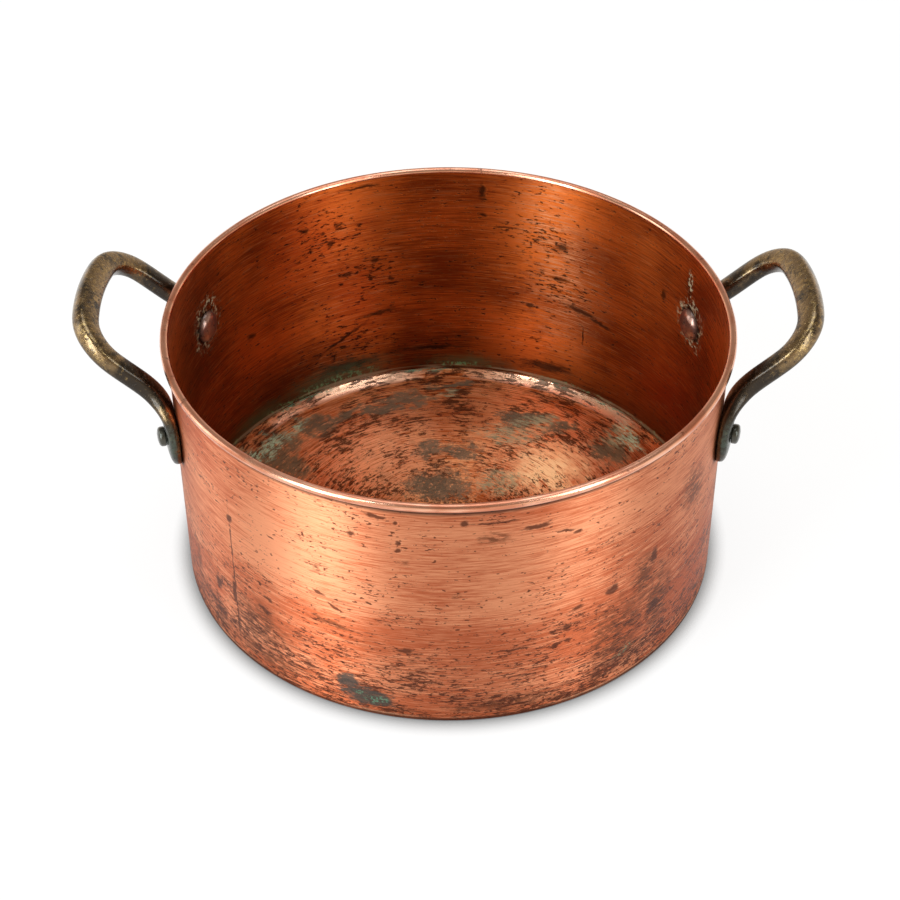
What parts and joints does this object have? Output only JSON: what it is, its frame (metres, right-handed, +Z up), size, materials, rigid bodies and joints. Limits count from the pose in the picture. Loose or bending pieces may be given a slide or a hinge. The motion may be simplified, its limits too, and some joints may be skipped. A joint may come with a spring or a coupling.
{
  "type": "two-handled copper pot",
  "caption": "Wide, straight-sided copper pot with a rolled rim and two riveted loop handles; open at the top and standing on its flat base.",
  "frame": {"origin": "middle of the underside, on the surface that the pot stands on", "axes": "+Z up along the pot's axis, X along the line through the two handles, -Y towards the front of the picture"},
  "size_m": [0.3622, 0.28, 0.1555],
  "materials": {
    "copper": "worn bare copper, brushed round the pot, with dark pits, heat stain and a little verdigris",
    "rim_wire": "drawn iron wire, sealed in the rolled rim",
    "handle_brass": "cast brass, dark with age and worn bright at the edges",
    "rivet": "hammered copper rivets, dull and stained"
  },
  "bodies": {
    "root": {"side_wall": "copper", "rim_wire": "rim_wire", "base_plate": "copper", "handle_right": "handle_brass", "handle_left": "handle_brass", "rivet_right_back": "rivet", "rivet_left_back": "rivet", "rivet_left_front": "rivet", "rivet_right_front": "rivet"}
  },
  "joints": []
}
